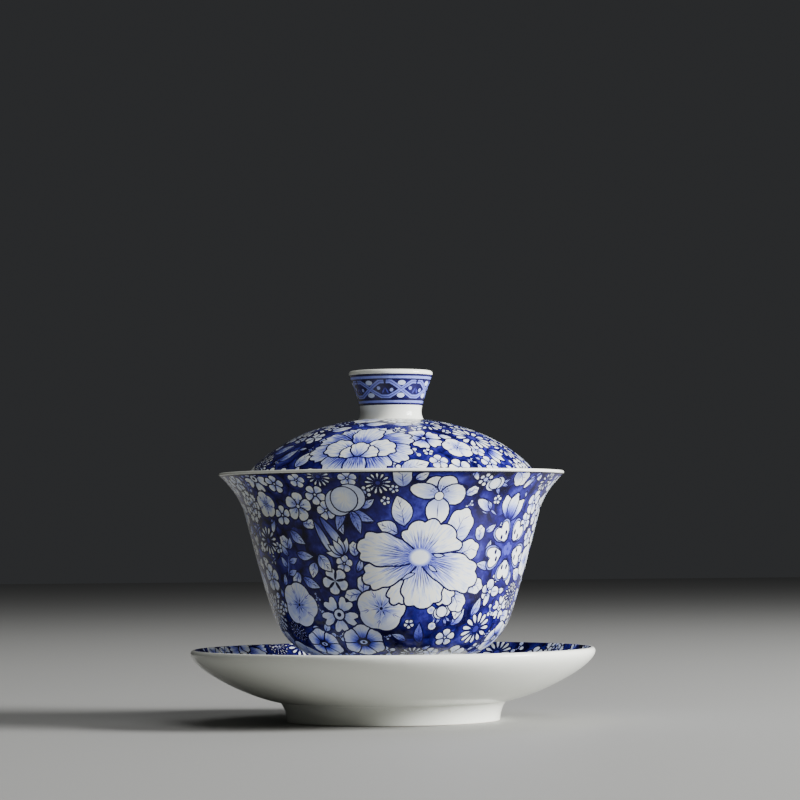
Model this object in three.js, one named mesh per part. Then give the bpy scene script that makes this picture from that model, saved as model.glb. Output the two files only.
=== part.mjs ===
// A gaiwan: a flared tea bowl that stands on a footed saucer, under a domed lid with a ring knob.
// The three loose pieces are thin thrown porcelain. The knob is thrown apart and luted to the lid.
// Millimetres, +Z up. The origin is the middle of the saucer's foot, on the surface it stands on.

import * as THREE from "three";

// Fineness of the turned surfaces
const SEGMENTS = 40;
const ROUND_STEPS = 4;
const CURVE_STEPS = { dish: 8, belly: 5, wall: 3, flare: 5, dome: 10, waist: 3, knob: 4 };

// A pair named LEAVES or ARRIVES is the way that a curve starts or ends, as [outward, upward].
// Its length is how far the curve keeps to it.

// Saucer. Heights are above its foot.
const SAUCER_DIAMETER = 111;
const SAUCER_HEIGHT = 19.8;
const SAUCER_FOOT_DIAMETER = 58.4;
const SAUCER_FOOT_HEIGHT = 5.4;
const SAUCER_FOOT_WIDTH = 1.6;
const SAUCER_FOOT_FLARE = 2.2;
const SAUCER_HOLLOW_HEIGHT = 5.9;
const SAUCER_WALL = 3.2;
const SAUCER_RIM_WALL = 2;
const DISH_LEAVES = [8.4, 1.4];
const DISH_ARRIVES = [0.5, 4.2];

// The seat in the middle of the saucer, which keeps the bowl centred
const SEAT_HEIGHT = 9.4;
const SEAT_CLEARANCE = 0.6;
const SEAT_RING_HEIGHT = 1.2;
const SEAT_RING_WIDTH = 1.6;

// Bowl. Heights are above its foot, drops are below its rim.
const BOWL_DIAMETER = 95;
const BOWL_HEIGHT = 58.8;
const BOWL_FOOT_DIAMETER = 41.2;
const BOWL_FOOT_HEIGHT = 8.5;
const BOWL_FOOT_WIDTH = 1.2;
const BOWL_HOLLOW_HEIGHT = 7;
const BOWL_FLOOR = 3.6;
const BOWL_WALL = 2.2;
const BOWL_RIM_WALL = 1.1;
const BELLY_DIAMETER = 65.2;
const BELLY_RISE = 11.1;
const NECK_DIAMETER = 81.2;
const NECK_DROP = 11;
const BELLY_LEAVES = [5.6, 0.7];
const BELLY_ARRIVES = [2, 5.7];
const WALL_LEAVES = [2.9, 8.4];
const WALL_ARRIVES = [2.3, 8.8];
const FLARE_LEAVES = [1, 3.7];
const FLARE_ARRIVES = [3.2, 2.9];

// The inside of a foot ring widens downwards by this much on both footed pieces.
const FOOT_DRAFT = 1.4;

// Lid. Its edge rests on the inside of the bowl's flare, this far below the rim.
const LID_SEAT_DROP = 5.4;
const LID_CLEARANCE = 0.15;
const LID_HEIGHT = 20.7;
const LID_WALL = 2.2;
const LID_LEAVES = [-1.5, 5.2];
const LID_ARRIVES = [-28, 0];

// Knob. Heights are above its seat on the lid.
const KNOB_DIAMETER = 23.2;
const KNOB_HEIGHT = 13.6;
const KNOB_FOOT_DIAMETER = 18.2;
const KNOB_WAIST_DIAMETER = 16.8;
const KNOB_WAIST_HEIGHT = 2.4;
const KNOB_WALL = 1.6;
const KNOB_CLEARANCE = 0.3;
const KNOB_FOOT_LEAVES = [-0.5, 0.6];
const WAIST_ARRIVES = [0, 0.8];
const KNOB_LEAVES = [0, 1.8];
const KNOB_ARRIVES = [0.7, 2];

const point = (r, z) => new THREE.Vector2(r, z);
const toTheLeft = (way) => point(-way.y, way.x);

// A curve from one point to another
function sweep(start, leaves, arrives, end) {
  const leaving = start.clone().add(point(...leaves));
  const arriving = end.clone().sub(point(...arrives));
  return new THREE.CubicBezierCurve(start, leaving, arriving, end);
}

// Points along a curve, each with the direction that faces left of the way it runs
function trace(curve, steps) {
  return Array.from({ length: steps + 1 }, (_, step) => ({
    at: curve.getPoint(step / steps),
    left: toTheLeft(curve.getTangent(step / steps)),
  }));
}

// Traces of curves that follow on from each other, with each shared point once
function joined(...traces) {
  return traces.flatMap((samples, index) => samples.slice(index === 0 ? 0 : 1));
}

const places = (samples) => samples.map((sample) => sample.at);

// The other face of a wall that narrows evenly from its first thickness to its last
function offset(samples, firstWall, lastWall) {
  return samples.map((sample, index) => {
    const wall = THREE.MathUtils.lerp(firstWall, lastWall, index / (samples.length - 1));
    return sample.at.clone().addScaledVector(sample.left, wall);
  });
}

// Where a wall's outside ends, so that its rounded edge just reaches a radius and a height
function outsideEnd(radius, height, wall, arrives) {
  const out = toTheLeft(point(...arrives).normalize()).negate();
  return point(radius - wall / 2, height - wall / 2).addScaledVector(out, wall / 2);
}

// The rounded edge that joins the two faces of a wall, without its two ends
function roundEdge(from, to) {
  const middle = from.clone().lerp(to, 0.5);
  return Array.from({ length: ROUND_STEPS - 1 }, (_, step) =>
    from.clone().rotateAround(middle, (Math.PI * (step + 1)) / ROUND_STEPS),
  );
}

// A foot ring and the hollow that it stands around, from the axis out to the ring's outer edge
function footOutline(radius, width, hollowHeight) {
  return [
    point(0, hollowHeight),
    point(radius - width - FOOT_DRAFT, hollowHeight),
    point(radius - width, 0),
    point(radius, 0),
  ];
}

// A solid of revolution. Its outline runs up the outside, so that its faces point out.
function turned(name, outline, material) {
  const geometry = new THREE.LatheGeometry(outline, SEGMENTS);
  geometry.rotateX(Math.PI / 2);
  const mesh = new THREE.Mesh(geometry, material);
  mesh.name = name;
  return mesh;
}

const glaze = (color) => new THREE.MeshStandardMaterial({ color, roughness: 0.2, metalness: 0 });
const whiteGlaze = glaze(0xf1f0ea);
const paintedGlaze = glaze(0x3a4fa0);

// Saucer: a shallow dish on a flared foot ring, with a seat for the bowl inside a low ring
function saucer() {
  const footRadius = SAUCER_FOOT_DIAMETER / 2;
  const dishStart = point(footRadius + SAUCER_FOOT_FLARE, SAUCER_FOOT_HEIGHT);
  const rim = outsideEnd(SAUCER_DIAMETER / 2, SAUCER_HEIGHT, SAUCER_RIM_WALL, DISH_ARRIVES);
  const outside = trace(sweep(dishStart, DISH_LEAVES, DISH_ARRIVES, rim), CURVE_STEPS.dish);
  const inside = offset(outside, SAUCER_WALL, SAUCER_RIM_WALL);
  const seatRadius = BOWL_FOOT_DIAMETER / 2 + SEAT_CLEARANCE;
  const crest = SEAT_HEIGHT + SEAT_RING_HEIGHT;
  const crestRadius = seatRadius + SEAT_RING_HEIGHT;
  const trough = inside[0].y;
  return turned(
    "saucer",
    [
      ...footOutline(footRadius, SAUCER_FOOT_WIDTH, SAUCER_HOLLOW_HEIGHT),
      ...places(outside),
      ...roundEdge(rim, inside.at(-1)),
      ...inside.toReversed(),
      point(crestRadius + SEAT_RING_WIDTH + crest - trough, trough),
      point(crestRadius + SEAT_RING_WIDTH, crest),
      point(crestRadius, crest),
      point(seatRadius, SEAT_HEIGHT),
      point(0, SEAT_HEIGHT),
    ],
    whiteGlaze,
  );
}

// Bowl: a foot ring, a round belly, a steep wall and a flared rim
const bellyStart = point(BOWL_FOOT_DIAMETER / 2, BOWL_FOOT_HEIGHT);
const bellyEnd = point(BELLY_DIAMETER / 2, BOWL_FOOT_HEIGHT + BELLY_RISE);
const neck = point(NECK_DIAMETER / 2, BOWL_HEIGHT - NECK_DROP);
const bowlRim = outsideEnd(BOWL_DIAMETER / 2, BOWL_HEIGHT, BOWL_RIM_WALL, FLARE_ARRIVES);
const bowlOutside = joined(
  trace(sweep(bellyStart, BELLY_LEAVES, BELLY_ARRIVES, bellyEnd), CURVE_STEPS.belly),
  trace(sweep(bellyEnd, WALL_LEAVES, WALL_ARRIVES, neck), CURVE_STEPS.wall),
  trace(sweep(neck, FLARE_LEAVES, FLARE_ARRIVES, bowlRim), CURVE_STEPS.flare),
);
const bowlInside = offset(bowlOutside, BOWL_WALL, BOWL_RIM_WALL);

function bowl() {
  const mesh = turned(
    "bowl",
    [
      ...footOutline(BOWL_FOOT_DIAMETER / 2, BOWL_FOOT_WIDTH, BOWL_HOLLOW_HEIGHT),
      ...places(bowlOutside),
      ...roundEdge(bowlRim, bowlInside.at(-1)),
      ...bowlInside.toReversed(),
      point(0, BOWL_HOLLOW_HEIGHT + BOWL_FLOOR),
    ],
    paintedGlaze,
  );
  mesh.position.z = SEAT_HEIGHT;
  return mesh;
}

// The middle of the lid's rounded edge where it rests on the bowl, in the bowl's own heights
function lidEdgeMiddle() {
  const seatHeight = BOWL_HEIGHT - LID_SEAT_DROP;
  const above = bowlInside.findIndex((inner) => inner.y > seatHeight);
  const [lower, upper] = bowlInside.slice(above - 1, above + 1);
  const touch = lower.clone().lerp(upper, (seatHeight - lower.y) / (upper.y - lower.y));
  const inward = toTheLeft(upper.clone().sub(lower).normalize());
  return touch.addScaledVector(inward, LID_WALL / 2 + LID_CLEARANCE);
}

// Lid: one dome from its steep edge to its crown. Its own heights start at the edge's lowest point.
const edgeMiddle = lidEdgeMiddle();
const lidRise = SEAT_HEIGHT + edgeMiddle.y - LID_WALL / 2;
const edgeOut = toTheLeft(point(...LID_LEAVES).normalize()).negate();
const lidEdge = point(edgeMiddle.x, LID_WALL / 2).addScaledVector(edgeOut, LID_WALL / 2);
const crown = point(0, LID_HEIGHT);
const lidOutside = trace(sweep(lidEdge, LID_LEAVES, LID_ARRIVES, crown), CURVE_STEPS.dome);

// Height of the dome's outside at a radius
function domeHeight(radius) {
  const next = lidOutside.findIndex((sample) => sample.at.x <= radius);
  const [outer, inner] = places(lidOutside.slice(next - 1, next + 1));
  return THREE.MathUtils.mapLinear(radius, outer.x, inner.x, outer.y, inner.y);
}

// Knob: an open flared ring with a narrow waist. Turned over, it is the foot that the lid stands on.
const knobFoot = point(KNOB_FOOT_DIAMETER / 2, 0);
const knobWaist = point(KNOB_WAIST_DIAMETER / 2, KNOB_WAIST_HEIGHT);
const knobRim = outsideEnd(KNOB_DIAMETER / 2, KNOB_HEIGHT, KNOB_WALL, KNOB_ARRIVES);
const knobOutside = joined(
  trace(sweep(knobFoot, KNOB_FOOT_LEAVES, WAIST_ARRIVES, knobWaist), CURVE_STEPS.waist),
  trace(sweep(knobWaist, KNOB_LEAVES, KNOB_ARRIVES, knobRim), CURVE_STEPS.knob),
);
const knobInside = fromSeat(offset(knobOutside, KNOB_WALL, KNOB_WALL));

// What is left of an outline above its piece's seat
function fromSeat(outline) {
  const first = outline.findIndex((at) => at.y > 0);
  const above = outline[first];
  const below = outline[first - 1] ?? point(above.x, 0);
  const start = below.clone().lerp(above, below.y / (below.y - above.y));
  return [start, ...outline.slice(first)];
}

// The knob is luted into a level ring that is ground into the crown. It is open inside as far as the
// knob's waist, so that the crown clears the knob's leaning wall.
const luteOuter = knobFoot.x + KNOB_CLEARANCE;
const luteInner = Math.min(...knobInside.map((at) => at.x)) - KNOB_CLEARANCE;
const luteHeight = domeHeight(luteOuter);

function lidDome() {
  const inside = offset(lidOutside, LID_WALL, LID_WALL);
  return turned(
    "lid_dome",
    [
      ...inside.toReversed(),
      ...roundEdge(inside[0], lidEdge),
      ...places(lidOutside).filter((at) => at.x > luteOuter),
      point(luteOuter, luteHeight),
      point(luteInner, luteHeight),
      point(luteInner, domeHeight(luteInner)),
      crown,
    ],
    paintedGlaze,
  );
}

function lidKnob() {
  const mesh = turned(
    "lid_knob",
    [
      ...places(knobOutside),
      ...roundEdge(knobRim, knobInside.at(-1)),
      ...knobInside.toReversed(),
      knobFoot,
    ],
    paintedGlaze,
  );
  mesh.position.z = luteHeight;
  return mesh;
}

const lid = new THREE.Group();
lid.add(lidDome(), lidKnob());
lid.position.z = lidRise;

const gaiwan = new THREE.Group();
gaiwan.add(saucer(), bowl(), lid);

export default gaiwan;
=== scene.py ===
import math
import random

import bpy
import numpy as np
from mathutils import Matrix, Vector
from mathutils.geometry import delaunay_2d_cdt
from mathutils.kdtree import KDTree


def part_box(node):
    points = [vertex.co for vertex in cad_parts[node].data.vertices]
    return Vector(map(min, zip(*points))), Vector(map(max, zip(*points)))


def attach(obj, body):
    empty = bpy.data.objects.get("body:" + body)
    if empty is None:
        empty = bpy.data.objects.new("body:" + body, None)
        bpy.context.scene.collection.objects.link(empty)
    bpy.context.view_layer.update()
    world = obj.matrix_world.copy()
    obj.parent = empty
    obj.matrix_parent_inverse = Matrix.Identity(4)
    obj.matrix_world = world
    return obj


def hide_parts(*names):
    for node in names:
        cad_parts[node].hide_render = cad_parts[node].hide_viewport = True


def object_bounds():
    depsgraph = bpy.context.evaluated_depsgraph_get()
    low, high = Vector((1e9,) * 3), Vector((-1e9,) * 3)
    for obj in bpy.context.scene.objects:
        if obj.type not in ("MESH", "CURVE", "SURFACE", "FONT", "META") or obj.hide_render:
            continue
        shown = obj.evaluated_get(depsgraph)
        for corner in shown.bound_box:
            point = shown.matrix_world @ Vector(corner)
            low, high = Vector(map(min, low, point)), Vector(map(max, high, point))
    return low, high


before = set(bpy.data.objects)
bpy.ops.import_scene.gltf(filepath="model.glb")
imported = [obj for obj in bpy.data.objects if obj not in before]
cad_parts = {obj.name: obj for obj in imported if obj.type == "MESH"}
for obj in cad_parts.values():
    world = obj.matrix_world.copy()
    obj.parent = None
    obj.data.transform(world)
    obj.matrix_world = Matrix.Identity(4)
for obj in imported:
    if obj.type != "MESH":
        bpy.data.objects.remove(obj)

cadLow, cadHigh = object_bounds()
mm = 0.001
tiny = 1e-4      # points nearer than this many millimetres are one point


# camera, floor and light

cameraSet = {
    "lens": 141,
    "sensor": 36,
    "clipStart": 0.05,
    "distance": 0.863,
    "height": 0.0493,
    "tiltUp": 2.57,
    "roll": 0.5,
    "aside": 0.0022,      # the gaiwan stands a little left of the middle of the view
}

lightSet = {
    "key": {"at": (1.11, -0.28, 0.44), "size": 0.45, "power": 56.0, "mirrored": True},
    "top": {"at": (0.55, -0.78, 0.95), "size": 0.7, "power": 6.0, "mirrored": False},
    "back": {"at": (0.1, 0.5, 1.0), "size": 0.8, "power": 4.0, "mirrored": False},
    "sky": (0.55, 0.57, 0.6),
    "skyStrength": 0.052,
}

floorSet = {"size": 6, "colour": (0.28, 0.28, 0.27), "roughness": 0.6}


def makeCamera():
    bpy.ops.object.camera_add()
    camera = bpy.context.object
    camera.name = "viewCamera"
    camera.data.lens = cameraSet["lens"]
    camera.data.sensor_width = cameraSet["sensor"]
    camera.data.clip_start = cameraSet["clipStart"]
    camera.location = (cameraSet["aside"], -cameraSet["distance"], cameraSet["height"])
    camera.rotation_euler = (math.radians(90 + cameraSet["tiltUp"]), math.radians(cameraSet["roll"]), 0)
    bpy.context.scene.camera = camera


def makeLight(name, spec):
    bpy.ops.object.light_add(type="AREA", location=spec["at"])
    lamp = bpy.context.object
    lamp.name = name
    lamp.data.energy = spec["power"]
    lamp.data.size = spec["size"]
    lamp.visible_glossy = spec["mirrored"]
    aim = Vector((0, 0, cadHigh.z / 2)) - Vector(spec["at"])
    lamp.rotation_euler = aim.to_track_quat("-Z", "Y").to_euler()


def makeStudio():
    for name in ("key", "top", "back"):
        makeLight(name + "Light", lightSet[name])
    world = bpy.data.worlds.new("studioSky")
    world.use_nodes = True
    sky = world.node_tree.nodes["Background"]
    sky.inputs["Color"].default_value = (*lightSet["sky"], 1)
    sky.inputs["Strength"].default_value = lightSet["skyStrength"]
    bpy.context.scene.world = world
    bpy.ops.mesh.primitive_plane_add(size=floorSet["size"], location=(0, 0, cadLow.z))
    floor = bpy.context.object
    floor.name = "paleFloor"
    paint = bpy.data.materials.new("floorPaint")
    paint.use_nodes = True
    shader = paint.node_tree.nodes["Principled BSDF"]
    shader.inputs["Base Color"].default_value = (*floorSet["colour"], 1)
    shader.inputs["Roughness"].default_value = floorSet["roughness"]
    floor.data.materials.append(paint)


bpy.ops.object.select_all(action="DESELECT")
makeCamera()
makeStudio()
print("camera and light are set")


# outlines of the turned pieces, as (radius, height) in millimetres

def curve(start, leaves, arrives, end, steps):
    # one stretch of outline that leaves its start and reaches its end in the given directions
    start, end = np.array(start, float), np.array(end, float)
    one, two = start + np.array(leaves, float), end - np.array(arrives, float)
    t = np.linspace(0, 1, steps + 1)[:, None]
    u = 1 - t
    return u**3 * start + 3 * u**2 * t * one + 3 * u * t**2 * two + t**3 * end


def chain(*stretches):
    # joins stretches end to end and drops each doubled point
    points = [np.atleast_2d(np.array(stretch, float)) for stretch in stretches]
    line = np.vstack(points)
    step = np.hypot(*np.diff(line, axis=0).T)
    return line[np.r_[True, step > tiny]]


def leftOf(line):
    # unit vectors that face left of the way a line runs
    along = np.gradient(line, axis=0)
    along /= np.hypot(along[:, 0], along[:, 1])[:, None]
    return np.stack([-along[:, 1], along[:, 0]], axis=1)


def inner(line, firstWall, lastWall):
    wall = np.linspace(firstWall, lastWall, len(line))[:, None]
    return line + leftOf(line) * wall


def roundEnd(a, b, steps=8):
    # half a turn from a to b, to the left
    a, b = np.array(a, float), np.array(b, float)
    middle, spoke = (a + b) / 2, (a - b) / 2
    t = np.linspace(0, math.pi, steps + 1)[1:-1, None]
    side = np.array([-spoke[1], spoke[0]])
    return middle + np.cos(t) * spoke + np.sin(t) * side


def endPoint(radius, height, wall, arrives):
    # where a wall's outside ends, so that its rounded edge just reaches a radius and a height
    way = np.array(arrives, float) / np.hypot(*arrives)
    return np.array([radius - wall / 2, height - wall / 2]) + np.array([way[1], -way[0]]) * wall / 2


def soften(line, corners, size=0.35):
    # rounds the numbered corners of an outline
    out = []
    for i, here in enumerate(line):
        if i not in corners:
            out.append(here)
            continue
        before, after = line[i - 1] - here, line[i + 1] - here
        reach = min(size, np.hypot(*before) / 2, np.hypot(*after) / 2)
        a = here + before / np.hypot(*before) * reach
        b = here + after / np.hypot(*after) * reach
        t = np.linspace(0, 1, 5)[:, None]
        out.extend((1 - t) ** 2 * a + 2 * (1 - t) * t * here + t**2 * b)
    return np.array(out)


class Line:
    # an outline that is read by its length, from a first reading that may be more than nought
    def __init__(self, points, first=0.0, spacing=0.06):
        step = np.hypot(*np.diff(points, axis=0).T)
        self.knots = first + np.r_[0, np.cumsum(step)]
        self.v = np.linspace(first, self.knots[-1], max(8, int((self.knots[-1] - first) / spacing)))
        self.r = np.interp(self.v, self.knots, points[:, 0])
        self.z = np.interp(self.v, self.knots, points[:, 1])

    def at(self, v):
        return np.interp(v, self.v, self.r), np.interp(v, self.v, self.z)

    def atHeight(self, z):
        return float(self.v[np.argmin(np.abs(self.z - z))])

    def atRadius(self, r):
        return float(self.v[np.argmin(np.abs(self.r - r))])


def outwards(line):
    # the way the surface faces along a closed outline that runs up its outside
    across = -leftOf(line)
    for _ in range(3):
        padded = np.vstack([across[:1], across, across[-1:]])
        across = padded[:-2] * 0.25 + padded[1:-1] * 0.5 + padded[2:] * 0.25
    return across / np.hypot(across[:, 0], across[:, 1])[:, None]


# brushwork: a motif is a list of shapes in millimetres about its middle, the lowest first

brushSet = {
    "inkTone": 0.84,
    "petalFade": 1.3,              # how soon the blue at a petal's root is gone
    "groundWash": 1, "petalWash": 0.1,
    "haloFrom": 2.6, "haloReach": 1.4, "haloTones": (0.64, 0.84),
    "haloFade": (2.4, -1.4),       # a halo keeps its pale middle, and fades over its outer part
    "fineBelow": 3.2,              # smaller flowers have fewer points, thinner ink and no frills
    "stamensFrom": 4, "veinsFrom": 5, "hatchFrom": 10,
}


def way(turn):
    # 0 points up, 90 to the right
    return np.array([math.sin(math.radians(turn)), math.cos(math.radians(turn))])


def petalLine(turn, start, length, width, egg=0.25, lobes=0, frill=0.0, steps=14, heart=(0, 0), blunt=1.0):
    # a rounded petal that is broader towards its tip, with a scalloped tip where it has lobes
    t = np.linspace(-math.pi, math.pi, steps + 1)[:-1]
    tip = np.clip(0.7 + np.cos(t), 0, 1)
    swell = 1 + frill * (np.abs(np.cos(lobes * t / 2)) - 0.6) * tip if lobes else 1
    x = start + 0.5 * length * (1 + np.cos(t) * swell)
    y = 0.5 * width * np.sign(np.sin(t)) * np.abs(np.sin(t)) ** blunt * (1 + egg * np.cos(t)) * swell
    return np.array(heart) + x[:, None] * way(turn) + y[:, None] * way(turn + 90)


def fanLine(turn, reach, spread, lobes, frill=0.16, root=0.1, lean=0.0, heart=(0, 0)):
    # a petal that opens like a fan from the heart of a flower, with notches in its outer edge
    t = np.linspace(-1, 1, max(9, lobes * (8 if reach > 6 else 5) + 1))
    uneven = t + 0.1 * np.sin(math.pi * t) * math.sin(turn) + 0.05 * np.sin(2 * math.pi * t)
    scallop = 1 + frill * (np.abs(np.sin(math.pi * lobes * (uneven + 1) / 2)) ** 0.8 - 0.8)
    radius = reach * scallop * (1 - (0.26 if spread < 50 else 0.08) * np.abs(t) ** 4) * (1 + lean * t)
    angle = np.radians(turn + spread * t)
    rim = np.stack([np.sin(angle), np.cos(angle)], axis=1) * radius[:, None]
    edge = [(1.02, 0.58), (0.98, 0.38), (0.8, root)]
    right = [way(turn + spread * side) * reach * share for side, share in edge]
    left = [way(turn - spread * side) * reach * share for side, share in edge[::-1]]
    return np.array(heart) + np.vstack([rim, right, left])


def leafLine(turn, length, width, bend=0.0, steps=9, heart=(0, 0)):
    # pointed at both ends, and bent to one side by a share of its length
    t = np.linspace(0, 1, steps)
    half = 0.5 * width * np.sin(math.pi * t**0.85) ** 0.9
    spine = bend * length * np.sin(math.pi * t) * 0.5
    along, side = way(turn), way(turn + 90)
    there = np.outer(t * length, along) + np.outer(spine + half, side)
    back = np.outer(t * length, along) + np.outer(spine - half, side)
    return np.array(heart) + np.vstack([there, back[-2:0:-1]])


def discLine(radius, x=0.0, y=0.0, steps=10, squash=1.0):
    t = np.linspace(0, 2 * math.pi, steps + 1)[:-1]
    return np.stack([x + radius * np.cos(t), y + radius * squash * np.sin(t)], axis=1)


def strokeLine(a, b, width):
    # one touch of the brush, fine at both ends
    a, b = np.array(a, float), np.array(b, float)
    along = (b - a) / max(np.hypot(*(b - a)), 1e-6)
    side = np.array([-along[1], along[0]]) * width / 2
    return np.array([a, a * 0.6 + b * 0.4 + side, b, a * 0.6 + b * 0.4 - side])


def shape(line, turn=0.0, reach=1.0, root=0.4, tip=0.02, streak=0.6, ink=0.46, heart=(0, 0), grain="petal"):
    # tones run from the root to the tip, ink is the outline's width, grain is how the brush runs
    return {"line": line, "turn": turn, "reach": reach, "root": root, "tip": tip, "streak": streak,
            "ink": ink, "heart": np.array(heart, float), "grain": grain}


def touch(line, tone=0.9):
    # solid colour with no outline of its own
    return shape(line, root=tone, tip=tone, streak=0, ink=0)


def dab(radius, tone=0.9, spot=(0, 0), steps=10, squash=1.0):
    return touch(discLine(radius, *spot, steps, squash), tone)


def stroke(a, b, width, tone):
    return touch(strokeLine(a, b, width), tone)


def boss(radius, tone, ink, steps=10, spot=(0, 0), squash=1.0):
    # an outlined disc in one tone
    return shape(discLine(radius, *spot, steps, squash), root=tone, tip=tone, streak=0, ink=ink)


def halo(size):
    # the pale wash that is left in the ground about a flower
    reach = size * brushSet["haloReach"]
    near, far = brushSet["haloTones"]
    return shape(discLine(reach, steps=14), 0, reach, near, far, 0, 0, grain="wash")


def petal(turn, start, length, width, egg=0.25, lobes=0, frill=0.0, root=0.4, tip=0.02, streak=0.6, ink=0.46,
          steps=14, heart=(0, 0)):
    line = petalLine(turn, start, length, width, egg, lobes, frill, max(steps, lobes * 4), heart)
    return shape(line, turn, start + length, root, tip, streak, ink, heart)


def fan(turn, reach, spread, lobes, root=0.5, frill=0.16, lean=0.0, ink=0.46, streak=1.0):
    return shape(fanLine(turn, reach, spread, lobes, frill, 0.1, lean), turn, reach, root, 0.02, streak, ink)


def leaf(turn, length, width, bend=0.0, root=0.5, tip=0.2, heart=(0, 0), ink=0.36):
    heart = np.array(heart, float)
    rib = heart + way(turn + 90) * bend * length * 0.42 + way(turn) * length * 0.5
    line = leafLine(turn, length, width, bend, 9, heart)
    shapes = [
        shape(line, turn, length, root, tip, 0.7, ink, heart, "leaf"),
        stroke(heart, rib, 0.3, 0.8),
        stroke(rib, heart + way(turn) * length * 0.9, 0.26, 0.8),
    ]
    if length > brushSet["veinsFrom"]:
        for k, lean in enumerate((-38, 36, -34, 32)):
            joint = heart + way(turn) * length * (0.28 + 0.12 * k)
            shapes.append(stroke(joint, joint + way(turn + lean) * width * 0.36, 0.2, 0.6))
    return shapes


# each layer: petals, start, length, width, egg, lobes, frill, root tone, turn; lengths as shares of the size
layers = {
    "blossom": [(5, 0.06, 0.94, 0.86, 0.3, 0, 0, 0.3, 0)],
    "darkEye": [(6, 0.16, 0.84, 0.84, 0.4, 5, 0.14, 0.8, 0)],
    "daisy": [(13, 0.26, 0.74, 0.34, 0.4, 0, 0, 0.3, 0)],
    "aster": [(16, 0.42, 0.58, 0.27, 0.3, 0, 0, 0.5, 0), (12, 0.14, 0.6, 0.26, 0.3, 0, 0, 0.5, 13),
              (7, 0.02, 0.36, 0.2, 0.3, 0, 0, 0.4, 0)],
    "carnation": [(9, 0.3, 0.7, 0.56, 0.5, 9, 0.22, 0.4, 0), (7, 0.06, 0.6, 0.46, 0.5, 9, 0.22, 0.4, 20),
                  (3, 0, 0.34, 0.36, 0.5, 7, 0.2, 0.35, 50)],
    "cluster": [(6, 0.3, 0.7, 0.7, 0.1, 0, 0, 0.25, 0)],
}


def flower(kind, size, turn=0.0):
    shapes = []
    small = size < brushSet["fineBelow"]
    steps, ink = (10, 0.28) if small else (14, 0.42)
    for count, start, length, width, egg, lobes, frill, root, offset in layers[kind]:
        for k in range(count):
            lean = turn + offset + 360 * k / count
            shapes.append(petal(lean, start * size, length * size, width * size, egg, 0 if small else lobes,
                                frill, root, streak=0.8, ink=ink, steps=steps))
    return shapes + flowerEye(kind, size, turn, ink)


def stamens(size, turn, count, inside=0.2, outside=0.42, sweep=360):
    shapes = []
    for k in range(count):
        out = way(turn + sweep * (k + 0.5) / count)
        shapes.append(stroke(out * size * inside, out * size * outside, 0.2, 0.75))
        shapes.append(dab(0.22, 0.88, out * size * (outside + 0.02), 5))
    return shapes


def flowerEye(kind, size, turn, ink):
    if kind == "darkEye":
        return [dab(size * 0.32, 0.9, steps=12, squash=0.8), boss(size * 0.2, 0.1, 0.16, squash=0.75),
                dab(size * 0.08, 0.9, steps=6)]
    if kind == "daisy":
        return [boss(size * 0.28, 0.62, ink, 12)]
    if kind == "blossom":
        threads = stamens(size, turn, 8) if size > brushSet["stamensFrom"] else []
        return threads + [boss(size * 0.16, 0.06, 0.22, 8)]
    if kind == "cluster":
        return [boss(size * 0.36, 0.2, 0.2)]
    return []


def primrose(size, turn=0.0):
    # five notched petals about a ringed eye
    shapes = [fan(turn + 72 * k, size, 35, 2, 0.22, 0.2, ink=0.34, streak=0.4) for k in range(5)]
    return shapes + [boss(size * 0.34, 0.05, 0.42, 14), dab(size * 0.12, 0.88, steps=7)]


def pansy(size, turn=0.0):
    # heart-shaped petals in a double line, each with two dots
    shapes = []
    for k in range(5):
        lean = turn + 72 * k
        heart = way(lean) * size * 0.14
        line = fanLine(lean, size * 0.98, 40, 2, 0.16, 0.2, 0, heart)
        shapes.append(shape(line, root=0.3, tip=0.3, streak=0, ink=0.42))
        heart = way(lean) * size * 0.2
        line = fanLine(lean, size * 0.84, 37, 2, 0.18, 0.2, 0, heart)
        shapes.append(shape(line, lean, size, 0.08, 0, 0.2, 0.34, heart))
        for side in (-12, 12):
            shapes.append(dab(size * 0.06, 0.84, way(lean + side) * size * 0.62, 7, 1.6))
    for k in range(5):
        shapes.append(dab(size * 0.1, 0.5, way(turn + 36 + 72 * k) * size * 0.14, 7))
    return shapes


def starFlower(size, turn=0.0):
    # a pale round-lobed flower behind a dark five-legged star
    shapes = [petal(turn + 36 + 72 * k, 0, size, size * 0.86, 0.3, 0, 0, 0.3, streak=0.5) for k in range(5)]
    shapes.append(dab(size * 0.5, 0.08, steps=12))
    for k in range(5):
        shapes.append(touch(leafLine(turn + 72 * k, size * 0.85, size * 0.2, 0, 5), 0.88))
    return shapes


def petunia(size, turn=0.0):
    # one round trumpet of five lobes, veined from its throat
    t = np.linspace(0, 2 * math.pi, 51)[:-1]
    lobe = np.abs(np.cos(2.5 * (t - math.radians(turn))))
    rim = size * (0.86 + 0.14 * lobe**0.6 + 0.02 * np.cos(3 * t + turn))
    line = np.stack([rim * np.sin(t), rim * np.cos(t)], axis=1)
    shapes = [shape(line, turn, size, 0.26, 0.02, 0.8)]
    for k in range(5):
        lean = turn + 36 + 72 * k
        crease, vein = way(lean), way(turn + 72 * k)
        fork = crease * size * 0.46
        shapes.append(stroke(fork, crease * size * 0.86, 0.26, 0.5))
        shapes.append(stroke(crease * size * 0.08, fork, 0.22, 0.6))
        for side in (-26, 26):
            shapes.append(stroke(fork, fork + way(lean + side) * size * 0.24, 0.2, 0.45))
        shapes.append(stroke(vein * size * 0.06, vein * size * 0.34, 0.34, 0.78))
    shapes.append(dab(size * 0.07, 0.85, steps=7))
    return shapes


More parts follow.
